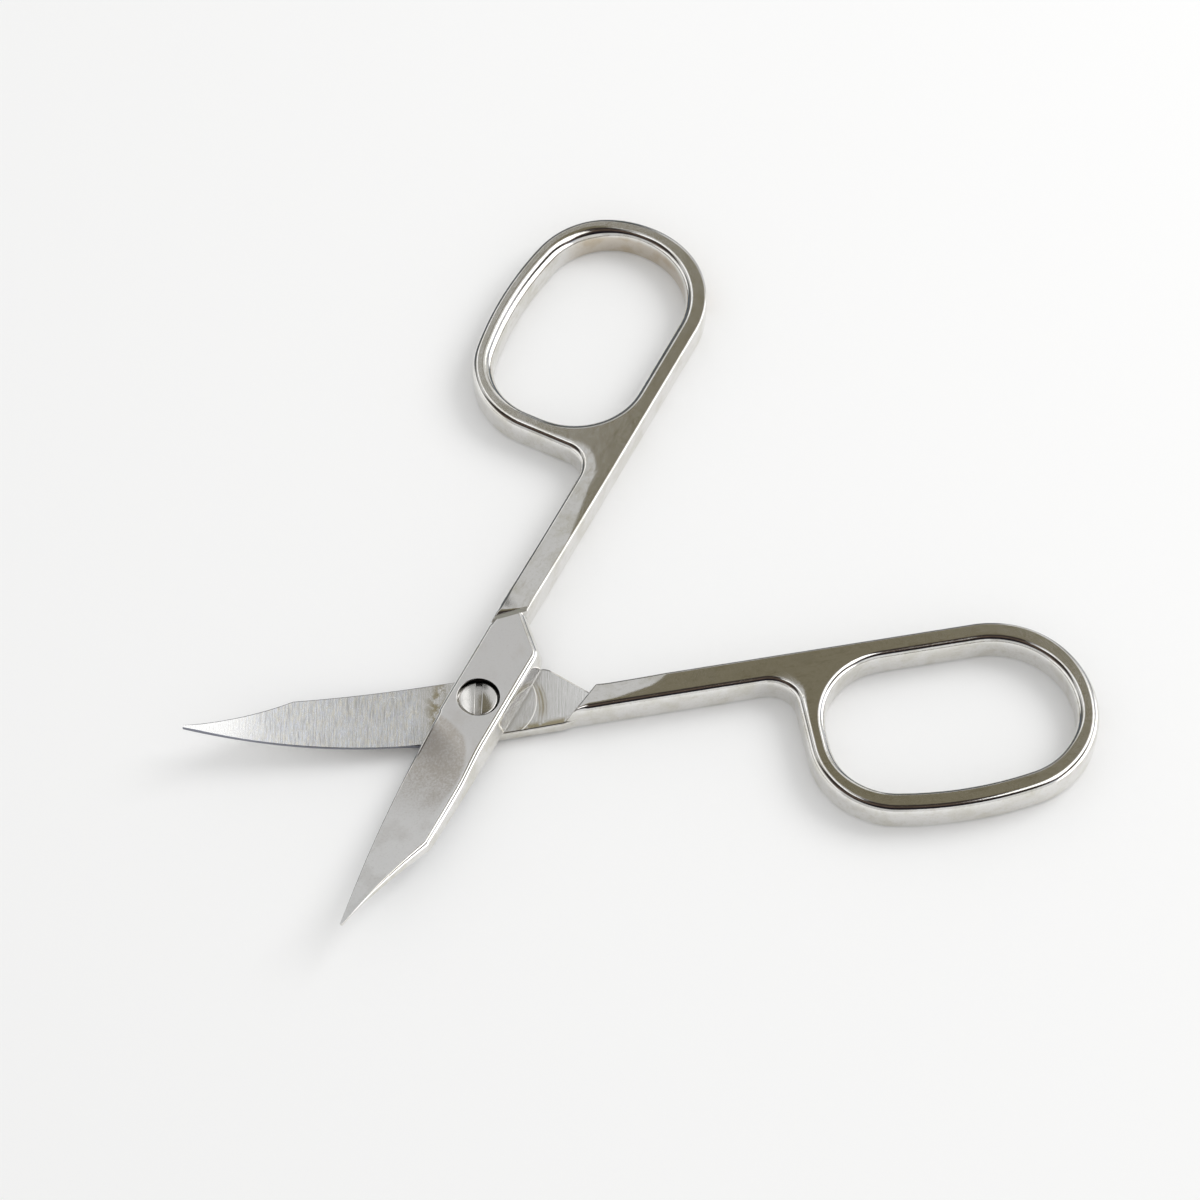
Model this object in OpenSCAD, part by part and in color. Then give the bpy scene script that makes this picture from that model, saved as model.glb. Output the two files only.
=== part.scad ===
// Curved nail scissors: two forged halves crossed on one slotted pivot screw.
// Frame: the pivot axis is Z, z = 0 is the table, +X halves the angle between the handles,
// +Z points from the table to the screw head. The blades point along -X and curve up.
// Each half is drawn in its own frame: X runs from the pivot to the handle and
// Y towards the other handle. The upper half is the mirror of the lower one in plan.

/* [Overall] */

// Angle between the two handles as the scissors lie
open_angle = 53; // [0:1:90]
// Distance from the pivot axis to the blade tips
blade_reach = 31.1; // [26:0.1:36]
// Distance from the pivot axis to the far end of the finger loops
handle_reach = 64.2; // [56:0.1:76]
// Height of the finger loops from the table
handle_h = 3.65; // [2.8:0.05:5]
// Gap between the two handles when the scissors are closed
handle_gap = 0.5; // [0.3:0.05:2]

/* [Blades] */

// Half width of a blade at the joint, from the pivot to the cutting edge
blade_edge_w = 3.6; // [3:0.05:4.2]
// Half width of a blade at the joint, from the pivot to the spine
blade_spine_w = 3.7; // [3:0.05:4.2]
// Radius of the lower blade's cutting edge seen from above
lower_edge_r = 105; // [100:1:160]
// Radius of the upper blade's cutting edge seen from above
upper_edge_r = 130; // [100:1:160]
// Distance from the pivot to the corner where the lower blade's spine turns to the point
lower_belly_reach = 19.2; // [16:0.1:22]
// Distance from the pivot to the corner where the upper blade's spine turns to the point
upper_belly_reach = 18; // [16:0.1:22]
// Radius of the hollow between that corner and the tip
point_r = 50; // [30:1:120]
// Width of the blunt end of the tip
tip_w = 0.25; // [0.15:0.05:0.6]
// Distance from the pivot at which the blades start to curve up
curve_start = 4.3; // [4:0.1:6]
// Height that the inner face gains at the tip
curve_rise = 3.85; // [1:0.05:6]
// Tilt of the ground outer face of the lower blade
lower_grind = 10; // [7:0.5:11]
// Tilt of the ground outer face of the upper blade
upper_grind = 12; // [9:0.5:13]
// Thickness of a blade's spine where it turns to the point
belly_t = 1.4; // [1.1:0.05:1.6]
// Thickness that the spine would have at the tip
tip_t = 0.95; // [0.8:0.05:1.2]

/* [Joint] */

// Thickness of the lower plate
lower_plate_t = 1.45; // [1.2:0.05:2]
// Thickness of the upper plate, which takes the screw head
upper_plate_t = 2.3; // [2:0.05:2.8]
// Height of the lower plate's underside above the table
joint_lift = 0.25; // [0.15:0.05:0.5]
// Gap between the two inner faces
face_gap = 0.06; // [0.04:0.01:0.12]
// Distance from the pivot to the notch where the plate meets the inner edge of the handle
notch_reach = 11.6; // [10.5:0.1:13]
// Radius of the plate's outer corner
plate_corner_r = 2.2; // [1:0.1:3]
// Gap between a shoulder and the other half's plate when closed
shoulder_gap = 0.35; // [0.2:0.05:0.6]
// Distance that the lower shoulder leans back from its foot to its top
lower_lean = 0.5; // [0.3:0.05:1.2]
// Distance that the upper shoulder leans back from its foot to its top
upper_lean = 0.85; // [0.3:0.05:1.2]
// Step between the upper plate's outer face and the handle
step_h = 0.25; // [0.1:0.05:0.4]
// Slope of the upper plate's side walls
upper_draft = 15; // [2:0.5:18]

/* [Handles] */

// Width of the shank
shank_w = 3.1; // [2.4:0.1:4]
// Distance from the pivot at which the upper shank starts to thicken towards the joint
shank_ramp_reach = 20.5; // [18:0.1:24]
// Distance from the pivot to the near side of the finger loop
loop_near = 33; // [31:0.1:37]
// Depth of the finger loop across the handle
loop_depth = 21.2; // [21.2:0.1:26]
// Width of the loop's band
band_w = 2.3; // [1.5:0.05:2.6]
// Outer radius of the loop's corner beside the shank
loop_root_r = 10; // [7:0.1:11]
// Outer radius of the loop's near corner on the outside
loop_near_r = 9.3; // [7:0.1:10]
// Outer radius of the loop's far corner beside the other handle
loop_far_inner_r = 10.9; // [8:0.1:11]
// Outer radius of the loop's far corner on the outside
loop_far_outer_r = 10.1; // [7:0.1:10.2]
// Radius of the hollow between shank and loop
neck_r = 3; // [2:0.1:4]
// Rounding of the handle's edges
edge_round = 0.6; // [0.3:0.05:0.6]

/* [Pivot screw] */

// Radius of the screw's plain and threaded shank
screw_r = 1.5; // [1.2:0.05:1.8]
// Radius of the screw head
head_r = 2.15; // [1.9:0.05:2.4]
// Height of the screw head's edge
head_h = 0.6; // [0.4:0.05:0.8]
// Height that the head's face bulges above its edge
head_dome = 0.15; // [0.05:0.01:0.2]
// Distance of the head's rim below the upper plate's face
head_sink = 0.3; // [0.2:0.05:0.5]
// Clearance round the screw head in its recess
head_gap = 0.1; // [0.05:0.01:0.2]
// Radial clearance of the screw in the upper half
bore_fit = 0.04; // [0.02:0.01:0.08]
// Radial clearance that stands for the thread in the lower half
thread_fit = 0.01; // [0.01:0.01:0.03]
// Width of the driver slot
slot_w = 0.75; // [0.5:0.05:1]
// Depth of the driver slot below the head's rim
slot_h = 0.4; // [0.2:0.05:0.5]
// Angle of the driver slot to the upper half
slot_turn = 155; // [0:1:180]
// Radius of the peened tail under the lower plate
tail_r = 1.75; // [1.6:0.05:2]

/* [Hidden] */

$fn = 96;
arc_steps = 6;
edge_steps = 4;
curve_steps = 14;
over = 1;
steel_bright = [0.74, 0.74, 0.72];
steel_satin = [0.66, 0.66, 0.64];
steel_screw = [0.60, 0.60, 0.58];

lower_face = joint_lift + lower_plate_t;
upper_face = lower_face + face_gap;
joint_top = upper_face + upper_plate_t;
shank_top = joint_top + step_h;
full_h = shank_top + over;
blade_space_h = joint_top + curve_rise + upper_plate_t;
draft_depth = blade_spine_w / 2;
inner_v = -handle_gap / 2;
outer_v = inner_v - shank_w;
shoulder_reach = notch_reach + shoulder_gap * sqrt(2);

head_z = joint_top - head_sink - head_h;
shank_root = shoulder_reach - shank_w - handle_gap - over;
ramp_angle = atan((shank_top - handle_h) / (shank_ramp_reach - shoulder_reach + shank_w / 2));

// Outline of the finger loop, clockwise from the corner beside the shank
loop_pts = [
    [loop_near, inner_v],
    [handle_reach, inner_v],
    [handle_reach, inner_v - loop_depth],
    [loop_near, inner_v - loop_depth]
];
loop_rs = [loop_root_r, loop_far_inner_r, loop_far_outer_r, loop_near_r];
neck_c = [loop_near - neck_r, outer_v - neck_r];

// Radius of the arc that lifts the inner faces, from its run and its rise
curve_run = blade_reach - curve_start;
curve_r = (curve_run * curve_run + curve_rise * curve_rise) / (2 * curve_rise);

// Rise of the inner face at distance d from the pivot
function face_rise(d) =
    d <= curve_start ? 0 : curve_r - sqrt(curve_r * curve_r - pow(d - curve_start, 2));

// Points of an arc round c from angle a to angle b
function arc(c, r, a, b, n) = [for (i = [0:n]) c + r * [cos(a + (b - a) * i / n), sin(a + (b - a) * i / n)]];

// Corner i of an outline: unit vectors to its neighbours, half its angle, and its rounding's centre
function toward(p, q) = (q - p) / norm(q - p);
function corner_before(pts, i) = toward(pts[i], pts[(i + len(pts) - 1) % len(pts)]);
function corner_after(pts, i) = toward(pts[i], pts[(i + 1) % len(pts)]);
function corner_half(pts, i) = acos(corner_before(pts, i) * corner_after(pts, i)) / 2;
function corner_mid(pts, i) = corner_before(pts, i) + corner_after(pts, i);
function corner_centre(pts, rs, i) =
    pts[i] + corner_mid(pts, i) / norm(corner_mid(pts, i)) * rs[i] / sin(corner_half(pts, i));
function corner_start(pts, rs, i) = pts[i] + corner_before(pts, i) * rs[i] / tan(corner_half(pts, i));
function corner_end(pts, rs, i) = pts[i] + corner_after(pts, i) * rs[i] / tan(corner_half(pts, i));
function bearing(p, q) = atan2(q[1] - p[1], q[0] - p[0]);

// An outline given by its corners, listed clockwise, with each corner rounded
function rounded(pts, rs, n) = [
    for (i = [0:len(pts) - 1])
        let (c = corner_centre(pts, rs, i))
        let (a = bearing(c, corner_start(pts, rs, i)))
        for (p = arc(c, rs[i], a, a - 180 + 2 * corner_half(pts, i), n)) p
];

// Outer faces of the blades: each is part of a cylinder that lies across the blade. It leaves the
// plate's outer face where the grind starts, and gives the spine its thickness at belly and tip
lower_belly_z = lower_face + face_rise(lower_belly_reach) - belly_t;
lower_tip_z = lower_face + face_rise(blade_reach) - tip_t;
upper_belly_z = upper_face + face_rise(upper_belly_reach) + belly_t;
upper_tip_z = upper_face + face_rise(blade_reach) + tip_t;

// Centre of the circle through three points of the (distance, height) plane
function circle_centre(p, q, s) =
    let (a = q - p)
    let (b = s - p)
    let (d = 2 * (a[0] * b[1] - a[1] * b[0]))
    p + [b[1] * (a * a) - a[1] * (b * b), a[0] * (b * b) - b[0] * (a * a)] / d;

grind_start = blade_edge_w;
grind_runout = plate_corner_r;
lower_belly = [lower_belly_reach, lower_belly_z];
upper_belly = [upper_belly_reach, upper_belly_z];
lower_outer_c = circle_centre([grind_start, joint_lift], lower_belly, [blade_reach, lower_tip_z]);
upper_outer_c = circle_centre([grind_start, joint_top], upper_belly, [blade_reach, upper_tip_z]);
lower_outer_r = norm([grind_start, joint_lift] - lower_outer_c);
upper_outer_r = norm([grind_start, joint_top] - upper_outer_c);

// Plan of a blade, from behind the pivot to the tip: the cutting edge is one arc, and a hollow
// arc runs from the end of the straight spine to the blunt tip
module blade_plan(edge_r, belly_reach) {
    edge_centre_v = edge_r - blade_edge_w;
    spine_end = [-belly_reach, blade_spine_w];
    tip = [-blade_reach, edge_centre_v - sqrt(edge_r * edge_r - blade_reach * blade_reach) + tip_w];
    half = (tip - spine_end) / 2;
    away = [half[1], -half[0]] / norm(half);
    difference() {
        intersection() {
            translate([-blade_reach, -blade_edge_w])
                square([blade_reach, blade_edge_w + blade_spine_w]);
            translate([0, edge_centre_v])
                circle(r = edge_r);
        }
        translate(spine_end + half + away * sqrt(point_r * point_r - half * half))
            circle(r = point_r);
    }
}

// Solid of the space under the inner face of the blades, at a given level at the pivot
module under_face(level) {
    far = blade_reach + over;
    rotate_extrude()
        polygon(concat(
            [[0, -over], [0, level]],
            [for (i = [0:curve_steps])
                let (d = curve_start + (far - curve_start) * i / curve_steps)
                [d, level + face_rise(d)]],
            [[far, -over]]
        ));
}

// Cylinder whose lowest strip is the outer face of a blade, tilted about the spine by the grind
module outer_face(c, r, level, tilt) {
    translate([-c[0], blade_spine_w, level])
        rotate([tilt, 0, 0])
            translate([0, 0, c[1] - level])
                rotate([90, 0, 0])
                    cylinder(r = r, h = 2 * handle_reach, center = true);
}

module lower_blade() {
    intersection() {
        linear_extrude(blade_space_h)
            blade_plan(lower_edge_r, lower_belly_reach);
        under_face(lower_face);
        outer_face(lower_outer_c, lower_outer_r, joint_lift, -lower_grind);
    }
}

module upper_blade() {
    difference() {
        translate([0, 0, upper_face - over])
            linear_extrude(blade_space_h)
                blade_plan(upper_edge_r, upper_belly_reach);
        outer_face(upper_outer_c, upper_outer_r, joint_top, upper_grind);
    }
}

// Plan of the flat plate round the pivot. It ends at the grind of the blade, runs out under the
// shoulder of its own shank, and its free corner stands clear of the other half's shoulder
module plate_plan() {
    polygon(rounded(
        [
            [-grind_start, -blade_edge_w],
            [-grind_start - grind_runout, blade_spine_w],
            [notch_reach - blade_spine_w, blade_spine_w],
            [notch_reach - inner_v, inner_v],
            [shoulder_reach + shank_w, inner_v],
            [shoulder_reach + shank_w, outer_v],
            [shoulder_reach - blade_edge_w, -blade_edge_w]
        ],
        [0, 0, plate_corner_r, 0, 0, 0, 0],
        arc_steps
    ));
}

module plate(level, thickness) {
    translate([0, 0, level])
        linear_extrude(thickness)
            plate_plan();
}

// Wedge that gives a side wall of the upper plate its slope. Side is 1 at the spine, -1 at the edge
module draft_cut(v, side) {
    reach = blade_reach + handle_reach;
    translate([0, v, upper_face])
        rotate([side * upper_draft, 0, 0])
            translate([-reach / 2, side < 0 ? -draft_depth : 0, -over])
                cube([reach, draft_depth, blade_space_h]);
}

// Section of a bar with rounded edges; it lies on the table and its outer side is at zero
module bar_section(w, h) {
    polygon(rounded(
        [[-w, 0], [-w, h], [0, h], [0, 0]],
        [edge_round, edge_round, edge_round, edge_round],
        edge_steps
    ));
}

// Straight bar between two points of the outline, with the handle's inside on its right
module bar(p, q, w, h) {
    translate([p[0], p[1], 0])
        rotate([0, 0, bearing(p, q)])
            rotate([90, 0, 90])
                linear_extrude(norm(q - p))
                    bar_section(w, h);
}

// Finger loop: a bar swept round an outline with four rounded corners
module finger_loop() {
    for (i = [0:len(loop_pts) - 1]) {
        c = corner_centre(loop_pts, loop_rs, i);
        next = (i + 1) % len(loop_pts);
        sweep = 180 - 2 * corner_half(loop_pts, i);
        translate([c[0], c[1], 0])
            rotate([0, 0, bearing(c, corner_end(loop_pts, loop_rs, i))])
                rotate_extrude(angle = sweep)
                    translate([loop_rs[i], 0])
                        bar_section(band_w, handle_h);
        bar(corner_end(loop_pts, loop_rs, i), corner_start(loop_pts, loop_rs, next), band_w, handle_h);
    }
}

// Web that fills the corner between the shank and the loop
module web() {
    mid_r = loop_root_r - band_w / 2;
    c = corner_centre(loop_pts, loop_rs, 0);
    difference() {
        linear_extrude(handle_h)
            polygon(concat(
                [[neck_c[0], neck_c[1]], [neck_c[0], inner_v - band_w / 2], [c[0], inner_v - band_w / 2]],
                arc(c, mid_r, 90, 180, arc_steps),
                [[loop_near + band_w / 2, neck_c[1]]]
            ));
        translate([neck_c[0], neck_c[1], 0])
            neck_cutter();
    }
}

// Cylinder with flared ends that hollows the neck and rounds its edges like the bars'
module neck_cutter() {
    rim = neck_r + edge_round;
    rotate_extrude()
        polygon(concat(
            [[0, -over], [rim, -over]],
            arc([rim, edge_round], edge_round, 270, 180, edge_steps),
            arc([rim, handle_h - edge_round], edge_round, 180, 90, edge_steps),
            [[rim, handle_h + over], [0, handle_h + over]]
        ));
}

// Shank from the shoulder to the loop: a bar, and on a thicker joint a second one that rises to it.
// The shoulder stands upright up to the level of its foot and leans back from there to the top
module shank(foot, top, lean_run) {
    lean = atan(lean_run / (top - foot));
    difference() {
        union() {
            bar([shank_root, inner_v], [loop_near, inner_v], shank_w, handle_h);
            bar([loop_near, inner_v], corner_end(loop_pts, loop_rs, 0), band_w, handle_h);
            bar(corner_start(loop_pts, loop_rs, 0), [loop_near, neck_c[1]], band_w, handle_h);
            if (top > handle_h)
                translate([shank_ramp_reach, 0, handle_h])
                    rotate([0, ramp_angle, 0])
                        translate([-shank_ramp_reach, 0, -handle_h / 2])
                            bar([shank_root, inner_v], [shank_ramp_reach, inner_v], shank_w, handle_h / 2);
        }
        translate([shoulder_reach, 0, foot])
            rotate([0, 0, -45])
                for (tilt = [0, lean])
                    rotate([0, tilt, 0])
                        translate([-handle_reach, -handle_reach, tilt == 0 ? -full_h : -over / 2])
                            cube([handle_reach, 2 * handle_reach, 2 * full_h]);
    }
}

module handle(foot, top, lean_run) {
    finger_loop();
    web();
    shank(foot, top, lean_run);
}

module lower_half() {
    color(steel_bright)
        rotate([0, 0, -open_angle / 2])
            difference() {
                union() {
                    plate(joint_lift, lower_plate_t);
                    lower_blade();
                    handle(lower_face - face_gap, handle_h, lower_lean);
                }
                translate([0, 0, -over])
                    cylinder(r = screw_r + thread_fit, h = full_h);
            }
}

module upper_half() {
    color(steel_satin)
        rotate([0, 0, open_angle / 2])
            mirror([0, 1, 0])
                difference() {
                    union() {
                        difference() {
                            union() {
                                plate(upper_face, upper_plate_t);
                                upper_blade();
                            }
                            under_face(upper_face);
                            draft_cut(blade_spine_w, 1);
                            draft_cut(-blade_edge_w, -1);
                        }
                        handle(joint_top - face_gap, shank_top, upper_lean);
                    }
                    translate([0, 0, -over])
                        cylinder(r = screw_r + bore_fit, h = full_h);
                    translate([0, 0, head_z - face_gap / 2])
                        cylinder(r = head_r + head_gap, h = full_h);
                }
}

module pivot_screw() {
    dome_r = (head_r * head_r + head_dome * head_dome) / (2 * head_dome);
    rim_z = head_z + head_h;
    color(steel_screw)
        difference() {
            union() {
                cylinder(r1 = tail_r - joint_lift, r2 = tail_r, h = joint_lift);
                cylinder(r = screw_r, h = head_z + head_h / 2);
                intersection() {
                    translate([0, 0, head_z])
                        cylinder(r = head_r, h = head_h + head_dome);
                    translate([0, 0, rim_z + head_dome - dome_r])
                        sphere(r = dome_r);
                }
            }
            rotate([0, 0, open_angle / 2 - slot_turn])
                translate([-head_r - over, -slot_w / 2, rim_z - slot_h])
                    cube([2 * (head_r + over), slot_w, full_h]);
        }
}

lower_half();
upper_half();
pivot_screw();
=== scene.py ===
import math

import bmesh
import bpy
import numpy as np
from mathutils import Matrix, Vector


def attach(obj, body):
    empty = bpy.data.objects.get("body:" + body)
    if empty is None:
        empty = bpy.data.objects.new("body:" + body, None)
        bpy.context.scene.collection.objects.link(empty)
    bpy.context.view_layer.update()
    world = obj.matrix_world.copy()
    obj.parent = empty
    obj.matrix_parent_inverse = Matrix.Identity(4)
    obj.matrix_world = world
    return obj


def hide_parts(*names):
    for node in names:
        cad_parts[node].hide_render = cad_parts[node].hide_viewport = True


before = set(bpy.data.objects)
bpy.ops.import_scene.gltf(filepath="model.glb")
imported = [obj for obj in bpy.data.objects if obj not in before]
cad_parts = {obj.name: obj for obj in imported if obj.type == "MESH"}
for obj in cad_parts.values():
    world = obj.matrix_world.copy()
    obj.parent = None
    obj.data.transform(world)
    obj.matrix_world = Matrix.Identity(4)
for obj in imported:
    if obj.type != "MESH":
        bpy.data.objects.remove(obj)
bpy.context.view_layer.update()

mm = 0.001

# Both halves share one plan. A half is drawn with x from the pivot to its handle and
# y towards the other handle, then turned into place; the upper one is mirrored first.
halves = {
    "lower": {"node": "lower_half", "slot": "lower_half_steel", "turn": math.radians(-26.5), "side": 1},
    "upper": {"node": "upper_half", "slot": "upper_half_steel", "turn": math.radians(26.5), "side": -1},
}


def place(points, half):
    # mirror y by the half's side, then a plane rotation by the half's turn
    c, s = math.cos(half["turn"]), math.sin(half["turn"])
    x, y, z = points[..., 0], points[..., 1] * half["side"], points[..., 2]
    return np.stack([c * x - s * y, s * x + c * y, z], -1)


def smoothStep(t):
    # cubic ease from 0 to 1
    t = np.clip(t, 0.0, 1.0)
    return t * t * (3 - 2 * t)


def softMin(a, b, k):
    # the smaller of two heights, with the crease between them filled over a width k
    h = np.clip(0.5 + 0.5 * (b - a) / k, 0.0, 1.0)
    return b * (1 - h) + a * h - k * h * (1 - h)


class Skin:
    # gathers grids of points in millimetres and makes one closed mesh of them

    def __init__(self):
        self.points, self.faces, self.slots, self.count = [], [], [], 0

    def grid(self, p, slot=0):
        n, m = p.shape[:2]
        index = np.arange(n * m).reshape(n, m) + self.count
        quads = np.stack([index[:-1, :-1], index[1:, :-1], index[1:, 1:], index[:-1, 1:]], -1).reshape(-1, 4)
        if not len(quads):
            return
        self.points.append(p.reshape(-1, 3))
        self.faces.append(quads)
        self.slots.append(np.full(len(quads), slot))
        self.count += n * m

    def fan(self, loop, slot=0):
        # a loop of points joined to its own middle
        self.grid(np.stack([loop, np.broadcast_to(loop.mean(0), loop.shape)]), slot)

    def build(self, name, materials, sharp):
        mesh = bpy.data.meshes.new(name)
        mesh.from_pydata((np.concatenate(self.points) * mm).tolist(), [], np.concatenate(self.faces).tolist())
        mesh.polygons.foreach_set("material_index", np.concatenate(self.slots).astype(np.int32))
        work = bmesh.new()
        work.from_mesh(mesh)
        bmesh.ops.remove_doubles(work, verts=work.verts, dist=3e-7)
        bmesh.ops.dissolve_degenerate(work, edges=work.edges, dist=1e-8)
        bmesh.ops.recalc_face_normals(work, faces=work.faces)
        if work.calc_volume(signed=True) < 0:
            bmesh.ops.reverse_faces(work, faces=work.faces)
        openEdges = sum(1 for e in work.edges if len(e.link_faces) != 2)
        work.to_mesh(mesh)
        work.free()
        mesh.shade_smooth()
        mesh.set_sharp_from_angle(angle=math.radians(sharp))
        for m in materials:
            mesh.materials.append(m)
        piece = bpy.data.objects.new(name, mesh)
        bpy.context.scene.collection.objects.link(piece)
        print("made", name, len(mesh.polygons), "faces,", openEdges, "open edges")
        return piece


class Wire:
    # one socket of a node tree; arithmetic on wires adds Math nodes

    def __init__(self, tree, socket):
        self.tree, self.socket = tree, socket

    def node(self, kind, settings=None, sockets=None, out=0):
        # a node of one type: its settings first, then the values or wires of its sockets
        made = self.tree.nodes.new(kind)
        for name, value in (settings or {}).items():
            if name == "stops":
                ramp = made.color_ramp
                while len(ramp.elements) < len(value):
                    ramp.elements.new(0.5)
                for element, (position, colour) in zip(ramp.elements, value):
                    element.position, element.color = position, (*colour, 1.0)
            else:
                setattr(made, name, value)
        for key, value in (sockets or {}).items():
            if isinstance(value, Wire):
                self.tree.links.new(value.socket, made.inputs[key])
            else:
                made.inputs[key].default_value = value
        return Wire(self.tree, made.outputs[out])

    def maths(self, operation, a, b=0.0):
        return self.node("ShaderNodeMath", {"operation": operation}, {0: a, 1: b})

    def __add__(self, other):
        return self.maths("ADD", self, other)

    def __radd__(self, other):
        return self.maths("ADD", other, self)

    def __sub__(self, other):
        return self.maths("SUBTRACT", self, other)

    def __rsub__(self, other):
        return self.maths("SUBTRACT", other, self)

    def __mul__(self, other):
        return self.maths("MULTIPLY", self, other)

    def __rmul__(self, other):
        return self.maths("MULTIPLY", other, self)

    def __pow__(self, other):
        return self.maths("POWER", self, other)

    def dot(self, vector):
        return self.node("ShaderNodeVectorMath", {"operation": "DOT_PRODUCT"}, {0: self, 1: vector}, out=1)

    def join(self, second, third=0.0):
        # a vector of this wire and two more values
        return self.node("ShaderNodeCombineXYZ", {}, {0: self, 1: second, 2: third})

    def step(self, low, high):
        # 0 below low, 1 above high, smooth between; low may be above high
        return self.node("ShaderNodeMapRange", {"interpolation_type": "SMOOTHSTEP"},
                         {"Value": self, "From Min": low, "From Max": high, "To Min": 0.0, "To Max": 1.0})

    def gap(self, centre):
        # distance from a value
        beside = self - centre
        return beside.maths("ABSOLUTE", beside)

    def bump(self, centre, width):
        # 1 at the centre value, 0 a width away
        return self.gap(centre).step(width, 0.0)

    def mix(self, a, b):
        # colour a where this wire is 0, colour b where it is 1
        a, b = (v if isinstance(v, Wire) else (*v, 1.0) for v in (a, b))
        return self.node("ShaderNodeMix", {"data_type": "RGBA"}, {0: self, 6: a, 7: b}, out=2)

    def noise(self, scale, detail, rough, stretch=None):
        vector = self
        if stretch is not None:
            vector = self.node("ShaderNodeVectorMath", {"operation": "MULTIPLY"}, {0: self, 1: stretch})
        return self.node("ShaderNodeTexNoise", {},
                         {"Vector": vector, "Scale": scale, "Detail": detail, "Roughness": rough})

    def relief(self, depth, under=None):
        # a bump with this wire as its height and a depth in millimetres, over another relief if one is given
        sockets = {"Strength": 1.0, "Distance": depth * mm, "Height": self}
        if under is not None:
            sockets["Normal"] = under
        return self.node("ShaderNodeBump", {}, sockets)


def reach(a, b):
    # length of the vector of two wires
    return (a * a + b * b) ** 0.5


def startMaterial(name):
    material = bpy.data.materials.new(name)
    material.use_nodes = True
    tree = material.node_tree
    shader = next(n for n in tree.nodes if n.type == "BSDF_PRINCIPLED")
    coords = Wire(tree, tree.nodes.new("ShaderNodeTexCoord").outputs["Object"])
    # millimetres in place of metres
    coords = coords.node("ShaderNodeVectorMath", {"operation": "SCALE"}, {0: coords, "Scale": 1.0 / mm})
    return material, tree, shader, coords


def feed(tree, shader, *values):
    # sets or links the shader's colour, metallic, roughness and normal
    for key, value in zip(("Base Color", "Metallic", "Roughness", "Normal"), values):
        socket = shader.inputs[key]
        if isinstance(value, Wire):
            tree.links.new(value.socket, socket)
        else:
            socket.default_value = value


def halfWires(at, half):
    # how far a point lies along the half's handle and across it
    c, s = math.cos(half["turn"]), math.sin(half["turn"])
    return at.dot((c, s, 0.0)), at.dot((-s * half["side"], c * half["side"], 0.0))


platedLook = {
    "colour": (0.82, 0.81, 0.79), "haze": (0.66, 0.64, 0.57), "streak": (0.52, 0.48, 0.40),
    "rough": 0.05, "hazeRough": 0.05, "hairRough": 0.03, "wave": 0.006, "grain": 0.003,
    "hazeNoise": (0.34, 4.0, 0.6), "spotNoise": (2.4, 4.0, 0.65), "waveNoise": (0.55, 2.0, 0.45),
    "streakNoise": (1.0, 5.0, 0.7, (0.45, 1.5, 1.0)), "hairNoise": (5.0, 4.0, 0.7, (1.0, 3.0, 1.0)),
    # tan, with its top and span: a painted reflection low on the walls inside the upper loop's far end
    "tan": (0.60, 0.52, 0.41), "tanReflectionTop": (3.2, 2.6),
    "tanReflectionSpan": {"upper": (56.5, 59.5), "lower": (99.0, 102.0)},
    # painted shade: the wall colour darkens the lower blade's walls, the next line's colour a ring in the
    # screw's recess
    "wall": (0.13, 0.14, 0.19), "wallShadeSpan": (-3.0, -5.0), "wallShadeShare": {"upper": 0.0, "lower": 0.85},
    "recessShade": (0.05, 0.048, 0.045), "recessShadeRadius": (2.40, 2.30), "recessShadeSide": (-1.6, 0.6),
}


def makePlated(name, half):
    # bright plating over a polished forging: haze in patches, brownish streaks along the handle, soft waves
    # from the buffing wheel and fine hairlines. Painted reflection: a tan wash low inside the far end of the
    # upper loop. Painted shade: dark walls on the lower blade and a dark ring in the screw's recess
    look = platedLook
    side = "lower" if half is halves["lower"] else "upper"
    material, tree, shader, at = startMaterial(name)
    u, v = halfWires(at, half)
    height = at.dot((0.0, 0.0, 1.0))
    local = u.join(v, height)
    haze = local.noise(*look["hazeNoise"]).step(0.42, 0.66)
    spots = local.noise(*look["spotNoise"]).step(0.50, 0.72)
    streaks = local.noise(*look["streakNoise"]).step(0.52, 0.72)
    hair = local.noise(*look["hairNoise"])
    wave = local.noise(*look["waveNoise"])
    colour = (haze * 0.6 + spots * 0.4).mix(look["colour"], look["haze"])
    colour = (streaks * 0.35 + hair.step(0.48, 0.75) * 0.15).mix(colour, look["streak"])
    # painted reflection: a tan wash low on the loop's inner wall, standing in for the shaded floor it
    # reflects
    tan = u.step(*look["tanReflectionSpan"][side]) * height.step(*look["tanReflectionTop"]) * (haze * 0.4 + 0.6)
    colour = tan.mix(colour, look["tan"])
    # painted shade: the walls of the lower blade are darkened
    colour = (u.step(*look["wallShadeSpan"]) * look["wallShadeShare"][side]).mix(colour, look["wall"])
    # painted shade: a dark ring in the screw's recess, heavier on one side
    recessShade = reach(u, v).step(*look["recessShadeRadius"]) * at.dot((1.0, 0.0, 0.0)).step(*look["recessShadeSide"])
    colour = recessShade.mix(colour, look["recessShade"])
    rough = look["rough"] + haze * look["hazeRough"] + hair.step(0.45, 0.8) * look["hairRough"]
    relief = hair.relief(look["grain"], wave.relief(look["wave"]))
    feed(tree, shader, colour, 1.0, rough, relief)
    return material


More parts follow.
